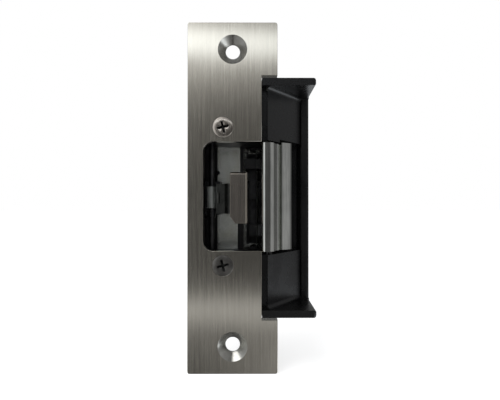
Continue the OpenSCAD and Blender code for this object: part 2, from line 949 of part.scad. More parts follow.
module circuit_board() {
    color([0.08, 0.32, 0.16])
        difference() {
            block([board_x[0], board_y, board_z[0]], [board_x[1], board_y + board_t, board_z[1]]);
            for (x = [board_x[0] + 2, board_x[1] - 2])
                translate([x, board_y - 1, board_z[1] - 2])
                    rod_y(1, board_t + 2);
        }
}

// A capacitor, four rectifier diodes and a surge suppressor
module board_components() {
    top = board_y + board_t;
    color([0.15, 0.15, 0.16]) {
        translate([5.8, top, -26.4])
            rod_y(2, 7);
        translate([-7.6, top, -26])
            rod_y(1.8, 1.6);
        for (k = [0:3])
            block([-4.5 + 2.4 * k, top, -27.8], [-2.9 + 2.4 * k, top + 1.5, -24.4]);
    }
}

module wire_socket() {
    back = case_d + cover_t;
    color([0.9, 0.89, 0.85])
        difference() {
            block([socket_x[0], board_y + board_t, socket_z[0]], [socket_x[1], back, socket_z[1]]);
            block([socket_x[0] + socket_wall, back - 8, socket_z[0] + socket_wall],
                [socket_x[1] - socket_wall, back + 1, socket_z[1] - socket_wall]);
            for (k = [-1.5:1.5])
                translate([k * contact_pitch, board_y, (socket_z[0] + socket_z[1]) / 2])
                    rod_y(0.4 + slip, 12);
        }
}

module socket_contacts() {
    color([0.83, 0.72, 0.4])
        for (k = [-1.5:1.5])
            translate([k * contact_pitch, board_y + board_t, (socket_z[0] + socket_z[1]) / 2])
                rod_y(0.4, case_d + cover_t - board_y - board_t - 3);
}

module back_cover() {
    round_r = 1.5;
    color([0.62, 0.63, 0.62])
        difference() {
            block([case_left, case_d, -case_half], [case_right, case_d + cover_t, case_half]);
            for (x = [case_left, case_right], side = [-1, 1])
                translate([x, case_d - 1, side * case_half])
                    difference() {
                        translate([-round_r, 0, -round_r])
                            cube([2 * round_r, cover_t + 2, 2 * round_r]);
                        translate([x < 0 ? round_r : -round_r, -1, -side * round_r])
                            rod_y(round_r, cover_t + 4);
                    }
            for (at = cover_screw_at)
                translate([at[0], case_d - 1, at[1]])
                    rod_y(1.25, cover_t + 2);
            block([socket_x[0] - 0.2, case_d - 1, socket_z[0] - 0.2],
                [socket_x[1] + 0.2, case_d + cover_t + 1, socket_z[1] + 0.2]);
        }
}

module cover_screws() {
    color([0.6, 0.6, 0.58])
        for (at = cover_screw_at)
            translate([at[0], case_d + cover_t, at[1]])
                rotate([90, 0, 0])
                    pan_screw(2.1, 1.2, 1.1, 6);
}

faceplate();
faceplate_screw_upper();
faceplate_screw_lower();
lip_bracket();
bracket_screws();
keeper();
keeper_pin();
keeper_bushings();
keeper_spring();
housing();
cavity_strip();
trip_paddle();
trip_arm();
trip_pin();
trip_spring();
monitor_switch();
switch_button();
switch_terminals();
switch_pins();
lock_slide();
slide_guide();
solenoid_frame();
solenoid_bobbin();
solenoid_winding();
solenoid_core();
solenoid_plunger();
plunger_spring();
plunger_link_pin();
solenoid_screws();
circuit_board();
board_components();
wire_socket();
socket_contacts();
back_cover();
cover_screws();
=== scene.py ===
"""Looks for the electric door strike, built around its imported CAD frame.

Everything is in the CAD's own frame: +X to the lip, +Y into the door frame, +Z up.
Lengths are in millimetres, times MM where they meet Blender. The studio's are in metres.
"""
import json
import math

import bmesh
import bpy
from mathutils import Matrix, Vector

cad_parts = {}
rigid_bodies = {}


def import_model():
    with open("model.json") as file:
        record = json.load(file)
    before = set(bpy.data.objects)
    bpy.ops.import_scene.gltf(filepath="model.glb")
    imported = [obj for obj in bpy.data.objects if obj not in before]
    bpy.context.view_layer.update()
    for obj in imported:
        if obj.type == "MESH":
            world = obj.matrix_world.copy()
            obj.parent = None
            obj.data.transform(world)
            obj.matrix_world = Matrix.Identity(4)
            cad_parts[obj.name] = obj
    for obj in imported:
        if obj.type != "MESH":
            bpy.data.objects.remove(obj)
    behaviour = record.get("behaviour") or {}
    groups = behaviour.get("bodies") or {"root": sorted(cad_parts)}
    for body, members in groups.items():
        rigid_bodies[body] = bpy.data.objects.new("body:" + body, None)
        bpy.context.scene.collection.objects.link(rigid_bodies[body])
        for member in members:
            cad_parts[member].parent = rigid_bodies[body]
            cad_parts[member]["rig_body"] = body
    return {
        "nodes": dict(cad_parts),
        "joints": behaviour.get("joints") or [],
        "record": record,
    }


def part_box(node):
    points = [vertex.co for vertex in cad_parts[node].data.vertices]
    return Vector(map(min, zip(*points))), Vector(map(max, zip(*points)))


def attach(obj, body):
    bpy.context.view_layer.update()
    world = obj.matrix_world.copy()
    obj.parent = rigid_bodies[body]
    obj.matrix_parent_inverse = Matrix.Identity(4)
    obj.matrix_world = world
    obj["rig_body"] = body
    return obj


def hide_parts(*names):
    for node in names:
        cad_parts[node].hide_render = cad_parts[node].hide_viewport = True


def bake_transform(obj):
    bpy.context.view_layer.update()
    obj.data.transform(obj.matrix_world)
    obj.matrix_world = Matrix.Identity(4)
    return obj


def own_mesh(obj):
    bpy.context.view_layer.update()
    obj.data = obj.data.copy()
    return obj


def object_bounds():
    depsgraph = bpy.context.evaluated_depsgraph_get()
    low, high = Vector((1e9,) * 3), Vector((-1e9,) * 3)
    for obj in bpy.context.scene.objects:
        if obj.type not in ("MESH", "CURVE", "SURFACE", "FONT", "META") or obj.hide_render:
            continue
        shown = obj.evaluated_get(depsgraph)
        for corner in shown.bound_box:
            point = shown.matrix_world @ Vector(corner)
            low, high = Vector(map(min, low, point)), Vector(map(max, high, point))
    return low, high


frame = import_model()
cad_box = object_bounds()

MM = 0.001
SCENE = bpy.context.scene
COLLECTION = SCENE.collection


# ---------------------------------------------------------------- camera
FOCAL_PIXELS = 399.4
IMAGE_WIDTH = 500
SENSOR = 36.0
CAMERA_AT = Vector((5.64, -143.8, -2.09)) * MM
CAMERA_TURN = math.radians(-0.21)
CAMERA_RISE = math.radians(0.50)

camera_data = bpy.data.cameras.new("camera")
camera_data.sensor_width = SENSOR
camera_data.lens = SENSOR * FOCAL_PIXELS / IMAGE_WIDTH
camera_data.clip_start = 0.005
camera_data.clip_end = 20
camera = bpy.data.objects.new("camera", camera_data)
camera.location = CAMERA_AT
camera.rotation_euler = (math.pi / 2 + CAMERA_RISE, 0, CAMERA_TURN)
COLLECTION.objects.link(camera)
SCENE.camera = camera
SCENE.view_settings.view_transform = "Standard"


# ---------------------------------------------------------------- node helpers
class Nodes:
    """A node tree with short calls for what the materials need."""

    def __init__(self, tree):
        self.tree = tree

    def add(self, kind, inputs=(), **settings):
        node = self.tree.nodes.new(kind)
        for key, value in settings.items():
            setattr(node, key, value)
        for key, value in dict(inputs).items():
            self.feed(node.inputs[key], value)
        return node

    def feed(self, socket, value):
        if isinstance(value, bpy.types.NodeSocket):
            self.tree.links.new(value, socket)
        elif socket.type == "RGBA" and len(value) == 3:
            socket.default_value = (*value, 1)
        else:
            socket.default_value = value

    def math(self, operation, a, b=0.0):
        return self.add("ShaderNodeMath", {0: a, 1: b}, operation=operation).outputs[0]

    def limit(self, value, low, high):
        return self.math("MINIMUM", self.math("MAXIMUM", value, low), high)

    def smooth(self, value, low, high, to_low=0.0, to_high=1.0):
        """A smooth step from to_low to to_high as value goes from low to high."""
        node = self.add(
            "ShaderNodeMapRange",
            {"Value": value, "From Min": low, "From Max": high, "To Min": to_low, "To Max": to_high},
            interpolation_type="SMOOTHSTEP",
        )
        return node.outputs["Result"]

    def mix(self, factor, a, b, blend="MIX"):
        node = self.add("ShaderNodeMix", data_type="RGBA", blend_type=blend)
        self.feed(node.inputs["Factor"], factor)
        self.feed(node.inputs[6], a)
        self.feed(node.inputs[7], b)
        return node.outputs[2]

    def ramp(self, value, stops):
        node = self.add("ShaderNodeValToRGB", {"Fac": value})
        elements = node.color_ramp.elements
        while len(elements) < len(stops):
            elements.new(0.5)
        for element, (place, colour) in zip(elements, stops):
            element.position = place
            element.color = (*colour, 1)
        return node.outputs["Color"]


FINISHES = {}


class Finish(Nodes):
    """One procedural material, kept in FINISHES under its name once it is done."""

    def __init__(self, name, metallic=0.0, **direct):
        self.name = name
        self.material = bpy.data.materials.new(name)
        self.material.use_nodes = True
        super().__init__(self.material.node_tree)
        self.shader = self.tree.nodes["Principled BSDF"]
        self.shader.inputs["Metallic"].default_value = metallic
        for key, value in direct.items():
            self.feed(self.shader.inputs[key.replace("_", " ")], value)
        self.place = self.add("ShaderNodeTexCoord").outputs["Object"]
        self.normal = None

    def at(self, scale=(1, 1, 1)):
        """Coordinates in millimetres, each axis times its own scale."""
        node = self.add("ShaderNodeMapping", {"Vector": self.place})
        node.inputs["Scale"].default_value = [s / MM for s in scale]
        return node.outputs["Vector"]

    def noise(self, scale, detail=3.0, rough=0.55):
        """Noise from 0 to 1 whose lumps are about 1/scale millimetres along each axis."""
        node = self.add(
            "ShaderNodeTexNoise",
            {"Vector": self.at(scale), "Scale": 1.0, "Detail": detail, "Roughness": rough},
        )
        return node.outputs["Fac"]

    def even_noise(self, scale, detail=3.0, rough=0.55):
        """Noise whose lumps are the same size along all three axes."""
        return self.noise((scale, scale, scale), detail, rough)

    def bump(self, height, strength, distance):
        inputs = {"Height": height, "Strength": strength, "Distance": distance * MM}
        node = self.add("ShaderNodeBump", inputs)
        if self.normal is not None:
            self.feed(node.inputs["Normal"], self.normal)
        self.normal = node.outputs["Normal"]

    def done(self, colour, rough=None, tangent=None):
        self.feed(self.shader.inputs["Base Color"], colour)
        if rough is not None:
            self.feed(self.shader.inputs["Roughness"], rough)
        if tangent is not None:
            node = self.add("ShaderNodeTangent", direction_type="RADIAL", axis=tangent)
            self.feed(self.shader.inputs["Tangent"], node.outputs["Tangent"])
        if self.normal is not None:
            self.feed(self.shader.inputs["Normal"], self.normal)
        FINISHES[self.name] = self.material


# ---------------------------------------------------------------- studio
# Brightness of the studio by elevation in degrees, as a share of SKY: the front, which the faceplate
# mirrors, and the two sides
SKY = 2.2
FRONT = [
    (-90, 0.04), (-45, 0.05), (-24, 0.075), (-20.6, 0.095), (-17.8, 0.105), (-16, 0.24), (-14.4, 0.295),
    (-12.6, 0.085), (-10.5, 0.04), (-5, 0.03), (1, 0.033), (8, 0.045), (11, 0.055), (14.3, 0.09),
    (17.0, 0.165), (19.6, 0.32), (21.2, 0.95), (22.9, 1.0), (23.5, 0.55), (24.2, 0.24), (32, 0.2),
    (60, 0.12), (90, 0.1),
]
LEFT = [
    (-90, 0.05), (-62, 0.12), (-40, 0.2), (-22, 0.26), (-12, 0.28), (0, 0.32), (18, 0.34), (30, 0.4),
    (45, 0.4), (90, 0.2),
]
RIGHT = [
    (-90, 0.05), (-62, 0.1), (-48, 0.25), (-30, 0.8), (-20, 0.8), (-13, 0.16), (0, 0.14), (18, 0.16),
    (30, 0.14), (60, 0.12), (90, 0.1),
]
# How far the bright parts lean to blue
COOL = 0.06
# The front gets brighter to the left above the horizon, and to the right below LOW_START. Heights are
# sines of the elevation, and ACROSS is the span to both sides of the middle in which it changes.
SLANT_ABOVE, HIGH_DEPTH = -6.5, 0.4
SLANT_BELOW, LOW_START, LOW_DEPTH = 55.0, -0.25, 0.14
MIDDLE = -0.04
ACROSS = (-0.11, 0.13)
# The left side's brightness factor, behind the plate and well in front of it
LEFT_FACTOR = (0.45, 1.25)
# Where the front ends, as the cosine of the turn from straight ahead, on the left and on the right
SEAM_LEFT, SEAM_RIGHT, SEAM_WIDTH = 0.92, 0.82, 0.045


def sky_ramp(n, level, stops):
    """A ramp over level, the sine of the elevation moved to 0..1."""

    def stop(degrees, share):
        tint = COOL * share
        place = (math.sin(math.radians(degrees)) + 1) / 2
        return place, (share * (1 - tint), share, share * (1 + tint))

    return n.ramp(level, [stop(*pair) for pair in stops])


def build_world():
    world = bpy.data.worlds.new("studio")
    world.use_nodes = True
    SCENE.world = world
    n = Nodes(world.node_tree)
    background = world.node_tree.nodes["Background"]
    out = world.node_tree.nodes["World Output"]
    direction = n.add("ShaderNodeSeparateXYZ", {0: n.add("ShaderNodeTexCoord").outputs["Generated"]})
    x, y, z = direction.outputs
    flat = n.math("SQRT", n.math("SUBTRACT", 1.0, n.math("MULTIPLY", z, z)))
    aside = n.math("DIVIDE", x, flat)
    ahead = n.math("DIVIDE", n.math("MULTIPLY", y, -1.0), flat)

    level = n.math("MULTIPLY", n.math("ADD", z, 1.0), 0.5)
    front, left, right = (sky_ramp(n, level, stops) for stops in (FRONT, LEFT, RIGHT))
    left = n.mix(1.0, left, n.smooth(ahead, -0.1, 0.85, *LEFT_FACTOR), "MULTIPLY")
    above = n.math("MULTIPLY", n.limit(z, 0.0, HIGH_DEPTH), SLANT_ABOVE)
    below = n.limit(n.math("SUBTRACT", LOW_START, z), 0.0, LOW_DEPTH)
    below = n.math("MULTIPLY", below, SLANT_BELOW)
    across = n.limit(n.math("SUBTRACT", aside, MIDDLE), *ACROSS)
    slant = n.math("MULTIPLY", across, n.math("ADD", above, below))
    front = n.mix(1.0, front, n.math("ADD", slant, 1.0), "MULTIPLY")

    sides = n.mix(n.smooth(aside, -0.3, 0.3), left, right)
    seam = n.smooth(aside, -0.2, 0.2, SEAM_LEFT, SEAM_RIGHT)
    both = n.mix(n.smooth(ahead, seam, n.math("ADD", seam, SEAM_WIDTH)), sides, front)
    n.feed(background.inputs["Color"], both)
    background.inputs["Strength"].default_value = SKY
    white = n.add("ShaderNodeBackground", {"Color": (1, 1, 1), "Strength": 1.0})
    seen = n.add("ShaderNodeLightPath").outputs["Is Camera Ray"]
    mixed = n.add("ShaderNodeMixShader", {0: seen, 1: background.outputs[0], 2: white.outputs[0]})
    n.feed(out.inputs["Surface"], mixed.outputs[0])


def area_light(name, at, aim, size, power):
    data = bpy.data.lights.new(name, "AREA")
    data.shape = "RECTANGLE"
    data.size, data.size_y = size
    data.energy = power
    lamp = bpy.data.objects.new(name, data)
    lamp.location = at
    lamp.rotation_mode = "QUATERNION"
    lamp.rotation_quaternion = (Vector(aim) - Vector(at)).to_track_quat("-Z", "Y")
    lamp.visible_camera = False
    COLLECTION.objects.link(lamp)


def build_floor():
    low = cad_box[0].z
    half = 3.0
    corners = [(x * half, y * half, low) for x, y in ((-1, -1), (1, -1), (1, 1), (-1, 1))]
    mesh = bpy.data.meshes.new("floor")
    mesh.from_pydata(corners, [], [(0, 1, 2, 3)])
    floor = bpy.data.objects.new("floor", mesh)
    COLLECTION.objects.link(floor)
    pale = Finish("pale_floor", Roughness=0.9, Emission_Color=(1, 1, 1), Emission_Strength=0.72)
    grain = pale.even_noise(0.02, 2)
    pale.done(pale.ramp(grain, [(0.3, (0.86, 0.86, 0.86)), (0.7, (0.9, 0.9, 0.9))]))
    mesh.materials.append(FINISHES["pale_floor"])
    floor.visible_glossy = False


build_world()
build_floor()
area_light("overhead", at=(-0.38, -0.30, 0.70), aim=(0, 0, 0), size=(0.7, 0.55), power=2.0)


# ---------------------------------------------------------------- finishes
# Colours are linear, as (dark, light) ends of each finish's mottling, and every noise scale is in
# lumps per millimetre. Brushing runs along Z: scales are across it, then along it.
FINE_SCRATCH, MIDDLE_SCRATCH, BROAD_SCRATCH = (16, 0.16), (4.5, 0.05), (1.1, 0.012)
BAND_BLUR = 0.12
# Painted shade on the keeper, as (start, end, factor) along X: its step's side wall, its groove and its
# drum's right edge, darkened in colour where shade falls on them
KEEPER_SHADE_BANDS = [(14.6, 15.9, 0.42), (17.4, 18.1, 0.45), (21.0, 22.5, 0.5)]


def brushed(name, dark, light, rough, anisotropy=0.9, scratch=0.06, width=1.0, bands=()):
    """Brushed steel whose scratches run along Z, in bands of several widths.

    bands lists (start, end, factor) along X, in millimetres, where the colour is darkened by factor as
    painted shade; on the keeper these are its step's side wall, its groove and its drum's right edge."""
    f = Finish(name, metallic=1.0, Anisotropic=anisotropy)
    fine, middle, broad = (
        f.noise((across / width, across / width, along), detail, edge)
        for (across, along), detail, edge in (
            (FINE_SCRATCH, 3, 0.7), (MIDDLE_SCRATCH, 3, 0.65), (BROAD_SCRATCH, 2, 0.6),
        )
    )
    cloud = f.even_noise(0.05, 3, 0.5)
    streak = f.mix(0.4, f.mix(0.45, fine, middle), f.mix(0.7, broad, cloud))
    colour = f.ramp(streak, [(0.36, dark), (0.64, light)])
    if bands:
        x = f.add("ShaderNodeSeparateXYZ", {0: f.at()}).outputs["X"]
    # Painted shade: each band's colour is darkened by its factor
    for start, end, factor in bands:
        entering = f.smooth(x, start - BAND_BLUR, start + BAND_BLUR)
        leaving = f.smooth(x, end - BAND_BLUR, end + BAND_BLUR, 1.0, 0.0)
        inside = f.math("MULTIPLY", entering, leaving)
        colour = f.mix(inside, colour, f.mix(1.0, colour, (factor, factor, factor), "MULTIPLY"))
    level = f.smooth(f.mix(0.5, middle, fine), 0.35, 0.65, rough * 0.8, rough * 1.2)
    f.bump(fine, scratch, 0.01)
    f.done(colour, level, tangent="Z")


def machined(name, dark, light, rough, size=1.5, tint=None, metallic=1.0):
    """Plain metal with slight blotches and fine scratches in no one direction."""
    f = Finish(name, metallic=metallic)
    blotch = f.even_noise(0.5 / size, 4, 0.6)
    grit = f.even_noise(14, 2, 0.6)
    colour = f.ramp(f.mix(0.3, blotch, grit), [(0.36, dark), (0.64, light)])
    if tint:
        colour = f.mix(f.smooth(f.noise((0.25, 0.25, 0.12), 2), 0.42, 0.68), colour, tint)
    f.bump(grit, 0.12, 0.02)
    f.done(colour, f.smooth(grit, 0.3, 0.7, rough * 0.82, rough * 1.25))


def cast_black(name, dark, light, rough, grain=3.2, depth=0.05):
    """Black coating over a casting: fine orange-peel grain with dull and glossy patches."""
    f = Finish(name, Specular_IOR_Level=0.35)
    peel = f.even_noise(grain)
    dust = f.even_noise(18, 2, 0.6)
    patch = f.noise((0.12, 0.12, 0.09))
    colour = f.ramp(f.mix(0.35, patch, dust), [(0.36, dark), (0.66, light)])
    f.bump(peel, 0.55, depth)
    f.bump(dust, 0.15, 0.01)
    f.done(colour, f.smooth(patch, 0.35, 0.65, rough * 0.85, rough * 1.2))


def moulded(name, dark, light, rough):
    """Moulded plastic: even colour, faint flow marks and a fine spark-eroded grain."""
    f = Finish(name, Specular_IOR_Level=0.45)
    flow = f.noise((0.3, 0.3, 0.12), 3, 0.5)
    grain = f.even_noise(9, 2, 0.6)
    colour = f.ramp(flow, [(0.35, dark), (0.65, light)])
    f.bump(grain, 0.2, 0.02)
    f.done(colour, f.smooth(grain, 0.3, 0.7, rough * 0.9, rough * 1.15))


brushed("brushed_stainless", (0.46, 0.43, 0.375), (0.69, 0.65, 0.565), 0.165)
brushed(
    "polished_stainless", (0.49, 0.445, 0.395), (0.62, 0.56, 0.495), 0.2,
    anisotropy=0.5, scratch=0.04,
)
brushed(
    "keeper_steel", (0.30, 0.305, 0.295), (0.82, 0.82, 0.78), 0.12,
    anisotropy=0.3, scratch=0.04, width=2.4, bands=KEEPER_SHADE_BANDS,
)
# The lower case screw's finish: the same screw as the upper one in screw_steel, painted darker as
# painted shade
machined("dark_screw_steel", (0.10, 0.097, 0.09), (0.21, 0.2, 0.187), 0.34)
machined("screw_steel", (0.50, 0.49, 0.46), (0.64, 0.63, 0.60), 0.26)
machined("pin_steel", (0.5, 0.5, 0.5), (0.62, 0.62, 0.61), 0.2)
machined("turned_stainless", (0.42, 0.41, 0.38), (0.60, 0.59, 0.55), 0.22)
# Painted shade in the case screws' sinks: dark round the screw heads where shade falls, and rough to
# blur their reflection
machined("sink_painted_shade", (0.12, 0.115, 0.105), (0.24, 0.23, 0.21), 0.5)
# Painted shade in the screws' cross recesses, darker than the screw steel
machined("recess_painted_shade", (0.03, 0.03, 0.03), (0.08, 0.078, 0.075), 0.5)
# The trip arm's knuckle: lighter and less metallic than black_lever, as a painted highlight on its
# round face
machined("knuckle_painted_highlight", (0.17, 0.18, 0.172), (0.25, 0.26, 0.25), 0.4, metallic=0.3)
machined("rough_hub", (0.21, 0.225, 0.19), (0.29, 0.305, 0.265), 0.55, metallic=0.4)
machined("bronze", (0.50, 0.33, 0.15), (0.62, 0.42, 0.20), 0.4)
machined("spring_steel", (0.05, 0.05, 0.052), (0.12, 0.12, 0.122), 0.3)
machined(
    "zinc_plate", (0.66, 0.69, 0.65), (0.92, 0.93, 0.89), 0.22,
    size=0.8, tint=(0.74, 0.74, 0.66), metallic=0.75,
)
machined("black_lever", (0.09, 0.095, 0.09), (0.16, 0.165, 0.155), 0.24)
machined("tinned_brass", (0.66, 0.60, 0.44), (0.78, 0.74, 0.6), 0.24)
machined("black_oxide_steel", (0.045, 0.045, 0.047), (0.09, 0.09, 0.092), 0.34)
machined("copper_winding", (0.50, 0.17, 0.06), (0.72, 0.30, 0.12), 0.28)
machined("soft_iron", (0.40, 0.39, 0.38), (0.52, 0.51, 0.50), 0.3)
cast_black("black_casting", (0.0025, 0.0025, 0.0027), (0.006, 0.006, 0.0063), 0.27)
cast_black("black_housing", (0.004, 0.004, 0.0045), (0.009, 0.009, 0.0095), 0.42, grain=2.2, depth=0.06)
moulded("switch_plastic", (0.012, 0.012, 0.014), (0.02, 0.02, 0.022), 0.48)
moulded("button_plastic", (0.36, 0.03, 0.025), (0.44, 0.04, 0.03), 0.32)
moulded("black_nylon", (0.012, 0.012, 0.013), (0.022, 0.022, 0.024), 0.5)
moulded("natural_nylon", (0.70, 0.67, 0.58), (0.78, 0.76, 0.68), 0.42)
moulded("board_laminate", (0.012, 0.12, 0.045), (0.02, 0.17, 0.07), 0.3)
moulded("component_epoxy", (0.015, 0.015, 0.016), (0.03, 0.03, 0.032), 0.45)

SLOT_OF = {part["node"]: part["material_slot"] for part in frame["record"]["subparts"]}


# Vertices closer than SAME_POINT are one, and faces within FLAT_ANGLE degrees of each other are one.
# Edges sharper than EDGE_ANGLE degrees are rounded.
SAME_POINT = 0.002
FLAT_ANGLE = 0.4
EDGE_ANGLE = 28
EDGE_SEGMENTS = 3


def body_of(node):
    return frame["nodes"][node]["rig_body"]


def settle(obj, node):
    """The piece stands for this CAD node, on its body, and the node is hidden."""
    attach(obj, body_of(node))
    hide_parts(node)


def copied(node, other=None):
    """A smooth-shaded copy of a CAD node's mesh, clean enough to be worked on.

    other is a second finish and a test, in millimetres, of the faces that have it."""
    mesh = frame["nodes"][node].data.copy()
    mesh.name = node + "_look"
    mesh.materials.clear()
    mesh.materials.append(FINISHES[SLOT_OF[node]])
    if other:
        mesh.materials.append(FINISHES[other[0]])
    bm = bmesh.new()
    bm.from_mesh(mesh)
    bmesh.ops.remove_doubles(bm, verts=bm.verts, dist=SAME_POINT * MM)
    bmesh.ops.dissolve_limit(bm, angle_limit=math.radians(FLAT_ANGLE), verts=bm.verts, edges=bm.edges)
    for face in bm.faces:
        face.material_index = int(bool(other) and other[1](face.calc_center_median() / MM))
        face.smooth = True
    bm.to_mesh(mesh)
    bm.free()
    obj = bpy.data.objects.new(node + "_look", mesh)
    COLLECTION.objects.link(obj)
    return obj


def dressed(node, width, other=None):
    """A copy of a CAD node with rounded edges, which stands for it."""
    obj = copied(node, other)
    bevel = obj.modifiers.new("round", "BEVEL")
    bevel.limit_method = "ANGLE"
    bevel.angle_limit = math.radians(EDGE_ANGLE)
    bevel.width = width * MM
    bevel.segments = EDGE_SEGMENTS
    bevel.use_clamp_overlap = True
    bevel.miter_outer = "MITER_ARC"
    obj.modifiers.new("shade", "WEIGHTED_NORMAL").keep_sharp = True
    settle(obj, node)


# ---------------------------------------------------------------- mesh builders
def arc(x, z, radius, start, end, steps):
    """Points on a circle from one angle to another, in degrees and millimetres."""
    angles = [math.radians(start + (end - start) * k / steps) for k in range(steps + 1)]
    return [(x + radius * math.cos(a), z + radius * math.sin(a)) for a in angles]


def circle(x, z, radius, steps):
    return arc(x, z, radius, 0, 360 * (steps - 1) / steps, steps - 1)


def inset(points, distance):
    """The closed outline moved to its left by distance, with mitred corners."""
    sharpest = 0.3
    moved = []
    count = len(points)
    for k in range(count):
        before, here, after = (Vector(points[(k + i) % count]) for i in (-1, 0, 1))
        a, b = (here - before).normalized(), (after - here).normalized()
        side_a, side_b = Vector((-a.y, a.x)), Vector((-b.y, b.x))
        miter = (side_a + side_b) / max(1 + side_a.dot(side_b), sharpest)
        moved.append(tuple(here + miter * distance))
    return moved


def rounding(points, front, back, radius, steps=4):
    """Rings of a plate's outline from its front face round both edges to its back face."""
    edge = []
    for k in range(steps + 1):
        a = math.pi / 2 * k / steps
        edge.append((inset(points, radius * (1 - math.sin(a))), radius * (1 - math.cos(a))))
    return (
        [(ring, front + depth) for ring, depth in edge]
        + [(ring, back - depth) for ring, depth in reversed(edge)]
    )


def turned(x, z, profile, steps=64):
    """Rings of a round hole: profile lists (radius, depth) from the front face to the back face."""
    return [(circle(x, z, radius, steps), depth) for radius, depth in profile]


def plate(name, contours, *finishes):
    """A plate from contours, each a list of (outline, depth) rings and its finish's number.

    The first and last rings of the contours bound the plate's two faces."""
    bm = bmesh.new()
    ends = [[], []]
    for rings, kind in contours:
        rows = [[bm.verts.new(Vector((x, depth, z)) * MM) for x, z in ring] for ring, depth in rings]
        for low, high in zip(rows, rows[1:]):
            for k in range(len(low)):
                j = (k + 1) % len(low)
                bm.faces.new((low[k], low[j], high[j], high[k])).material_index = kind
        for end, row in zip(ends, (rows[0], rows[-1])):
            end.extend(bm.edges.get((row[k], row[(k + 1) % len(row)])) for k in range(len(row)))
    sides = set(bm.faces)
    for end in ends:
        bmesh.ops.triangle_fill(bm, use_beauty=True, use_dissolve=False, edges=end)
    flat = [face for face in bm.faces if face not in sides]
    return solid(name, bm, *finishes, flat=flat)


def solid(name, bm, *finishes, flat=()):
    """The finished mesh as an object, shaded smooth apart from its flat faces."""
    bmesh.ops.recalc_face_normals(bm, faces=bm.faces)
    for face in bm.faces:
        face.smooth = True
    for face in flat:
        face.smooth = False
    mesh = bpy.data.meshes.new(name)
    bm.to_mesh(mesh)
    bm.free()
    for finish in finishes:
        mesh.materials.append(finish)
    obj = bpy.data.objects.new(name, mesh)
    COLLECTION.objects.link(obj)
    obj.modifiers.new("shade", "WEIGHTED_NORMAL").keep_sharp = True
    return obj


# ---------------------------------------------------------------- faceplate
PLATE_LOW, PLATE_HIGH = (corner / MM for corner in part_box("faceplate"))
PLATE_FRONT, PLATE_BACK = PLATE_LOW.y, PLATE_HIGH.y
CORNER = 0.8
EDGE = 0.09
NOTCH_X, NOTCH_Z = 10.25, 43.15
WINDOW_X, WINDOW_LOW, WINDOW_HIGH, WINDOW_R = -10.45, -18.9, 19.8, 3.6
FIXING = next(mount for mount in frame["record"]["mounts"] if mount["name"] == "mounting_holes")["dims"]
FIXING_Z = FIXING["spacing_y_mm"] / 2
FIXING_R = FIXING["hole_r_mm"]
FIXING_SINK_R = 5.2
CASE_SCREW_X = -3.4
CASE_SCREW_Z = {"faceplate_screw_upper": 24.9, "faceplate_screw_lower": -24}
CASE_HOLE_R = 1.85
CASE_SINK_R = 3.74


def plate_outline():
    """The faceplate's edge from its lower left corner, with the notch and the window open to it."""
    side, top = PLATE_HIGH.x, PLATE_HIGH.z
    turn_x = WINDOW_X + WINDOW_R
    return (
        arc(CORNER - side, CORNER - top, CORNER, 180, 270, 5)
        + arc(side - CORNER, CORNER - top, CORNER, 270, 360, 5)
        + [(side, -NOTCH_Z), (NOTCH_X, -NOTCH_Z), (NOTCH_X, WINDOW_LOW)]
        + arc(turn_x, WINDOW_LOW + WINDOW_R, WINDOW_R, 270, 180, 14)
        + arc(turn_x, WINDOW_HIGH - WINDOW_R, WINDOW_R, 180, 90, 14)
        + [(NOTCH_X, WINDOW_HIGH), (NOTCH_X, NOTCH_Z), (side, NOTCH_Z)]
        + arc(side - CORNER, top - CORNER, CORNER, 0, 90, 5)
        + arc(CORNER - side, top - CORNER, CORNER, 90, 180, 5)
    )


def build_faceplate():
    """The plate in three finishes: its own, the fixing holes' and the case screws' holes', which are
    painted dark as painted shade.
    """
    contours = [(rounding(plate_outline(), PLATE_FRONT, PLATE_BACK, EDGE), 0)]
    sink_depth = FIXING_SINK_R - FIXING_R
    fixing_hole = [
        (FIXING_SINK_R, PLATE_FRONT), (FIXING_SINK_R - 0.03, PLATE_FRONT + 0.012),
        (FIXING_SINK_R - 0.07, PLATE_FRONT + 0.05), (FIXING_R + 0.05, PLATE_FRONT + sink_depth - 0.05),
        (FIXING_R + 0.01, PLATE_FRONT + sink_depth + 0.05), (FIXING_R, PLATE_BACK - 0.15),
        (FIXING_R + 0.05, PLATE_BACK - 0.04), (FIXING_R + 0.15, PLATE_BACK),
    ]
    for z in (-FIXING_Z, FIXING_Z):
        contours.append((turned(0, z, fixing_hole, 96), 1))
    case_hole = [
        (CASE_SINK_R, PLATE_FRONT), (CASE_SINK_R - 0.05, PLATE_FRONT + 0.02),
        (CASE_SINK_R - 0.09, PLATE_FRONT + 0.06), (CASE_HOLE_R, PLATE_FRONT + CASE_HOLE_R),
        (CASE_HOLE_R, PLATE_BACK - 0.1), (CASE_HOLE_R + 0.1, PLATE_BACK),
    ]
    for z in sorted(CASE_SCREW_Z.values()):
        contours.append((turned(CASE_SCREW_X, z, case_hole), 2))
    finishes = [FINISHES[name] for name in ("brushed_stainless", "turned_stainless", "sink_painted_shade")]
    settle(plate("faceplate_look", contours, *finishes), "faceplate")


build_faceplate()


# ---------------------------------------------------------------- screws
RECESS_TURN = math.radians(14)
SCREW_EDGE = 0.06
SCREW_EDGE_ANGLE = 32
HEAD_TOP = -3.15


def lathe(bm, profile, steps=64):
    """A turned body from (radius, height) points, its axis along +Z."""
    rows = []
    for radius, height in profile:
        if radius == 0:
            rows.append([bm.verts.new((0, 0, height))])
        else:
            rows.append([
                bm.verts.new((radius * math.cos(a), radius * math.sin(a), height))
                for a in (2 * math.pi * k / steps for k in range(steps))
            ])
    for low, high in zip(rows, rows[1:]):
        for k in range(steps):
            j = (k + 1) % steps
            ring = [low[k % len(low)], low[j % len(low)], high[j % len(high)], high[k % len(high)]]
            bm.faces.new(list(dict.fromkeys(ring)))


